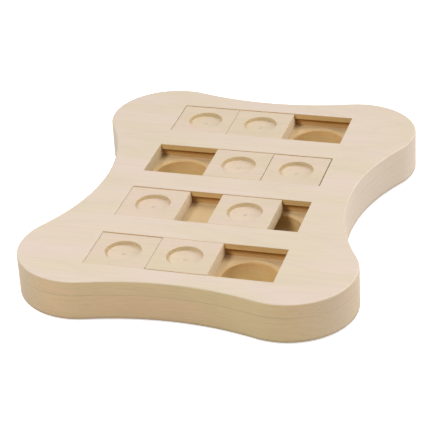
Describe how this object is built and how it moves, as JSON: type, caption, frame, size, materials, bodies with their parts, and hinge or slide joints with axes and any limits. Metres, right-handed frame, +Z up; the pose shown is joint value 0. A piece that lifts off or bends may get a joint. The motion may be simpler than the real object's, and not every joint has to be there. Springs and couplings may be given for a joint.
{
  "type": "dog puzzle feeder",
  "caption": "Flat wooden puzzle feeder for dogs: a waisted board with four rows of sliding tiles that cover round treat pockets.",
  "frame": {"origin": "under the middle of the board's outline, on the surface that the feet stand on", "axes": "+X along the grooves to the right, +Y from the front row to the back row, +Z up"},
  "size_m": [0.2686, 0.3344, 0.035],
  "materials": {
    "board_wood": "sanded, clear matt",
    "base_wood": "sanded, clear matt",
    "tile_wood": "sanded, clear matt",
    "foot_rubber": "matt"
  },
  "bodies": {
    "board": {"top_board": "board_wood", "base_board": "base_wood", "front_left_foot": "foot_rubber", "front_right_foot": "foot_rubber", "back_left_foot": "foot_rubber", "back_right_foot": "foot_rubber"},
    "row_1_left_tile": {"row_1_left_tile": "tile_wood"},
    "row_1_right_tile": {"row_1_right_tile": "tile_wood"},
    "row_2_left_tile": {"row_2_left_tile": "tile_wood"},
    "row_2_right_tile": {"row_2_right_tile": "tile_wood"},
    "row_3_left_tile": {"row_3_left_tile": "tile_wood"},
    "row_3_right_tile": {"row_3_right_tile": "tile_wood"},
    "row_4_left_tile": {"row_4_left_tile": "tile_wood"},
    "row_4_right_tile": {"row_4_right_tile": "tile_wood"}
  },
  "joints": [
    {"name": "row_1_left_slide", "type": "slide", "parent": "board", "child": "row_1_left_tile", "axis": [1, 0, 0], "range_m": [0, 0.0512]},
    {"name": "row_1_right_slide", "type": "slide", "parent": "row_1_left_tile", "child": "row_1_right_tile", "axis": [-1, 0, 0], "range_m": [-0.0512, 0]},
    {"name": "row_2_left_slide", "type": "slide", "parent": "row_2_right_tile", "child": "row_2_left_tile", "axis": [1, 0, 0], "range_m": [-0.0505, 0]},
    {"name": "row_2_right_slide", "type": "slide", "parent": "board", "child": "row_2_right_tile", "axis": [-1, 0, 0], "range_m": [-0.0006, 0.0505]},
    {"name": "row_3_left_slide", "type": "slide", "parent": "board", "child": "row_3_left_tile", "axis": [1, 0, 0], "range_m": [0, 0.0272]},
    {"name": "row_3_right_slide", "type": "slide", "parent": "board", "child": "row_3_right_tile", "axis": [1, 0, 0], "range_m": [-0.0272, 0.0242]},
    {"name": "row_4_left_slide", "type": "slide", "parent": "board", "child": "row_4_left_tile", "axis": [1, 0, 0], "range_m": [0, 0.0514]},
    {"name": "row_4_right_slide", "type": "slide", "parent": "row_4_left_tile", "child": "row_4_right_tile", "axis": [-1, 0, 0], "range_m": [-0.0514, 0]}
  ]
}
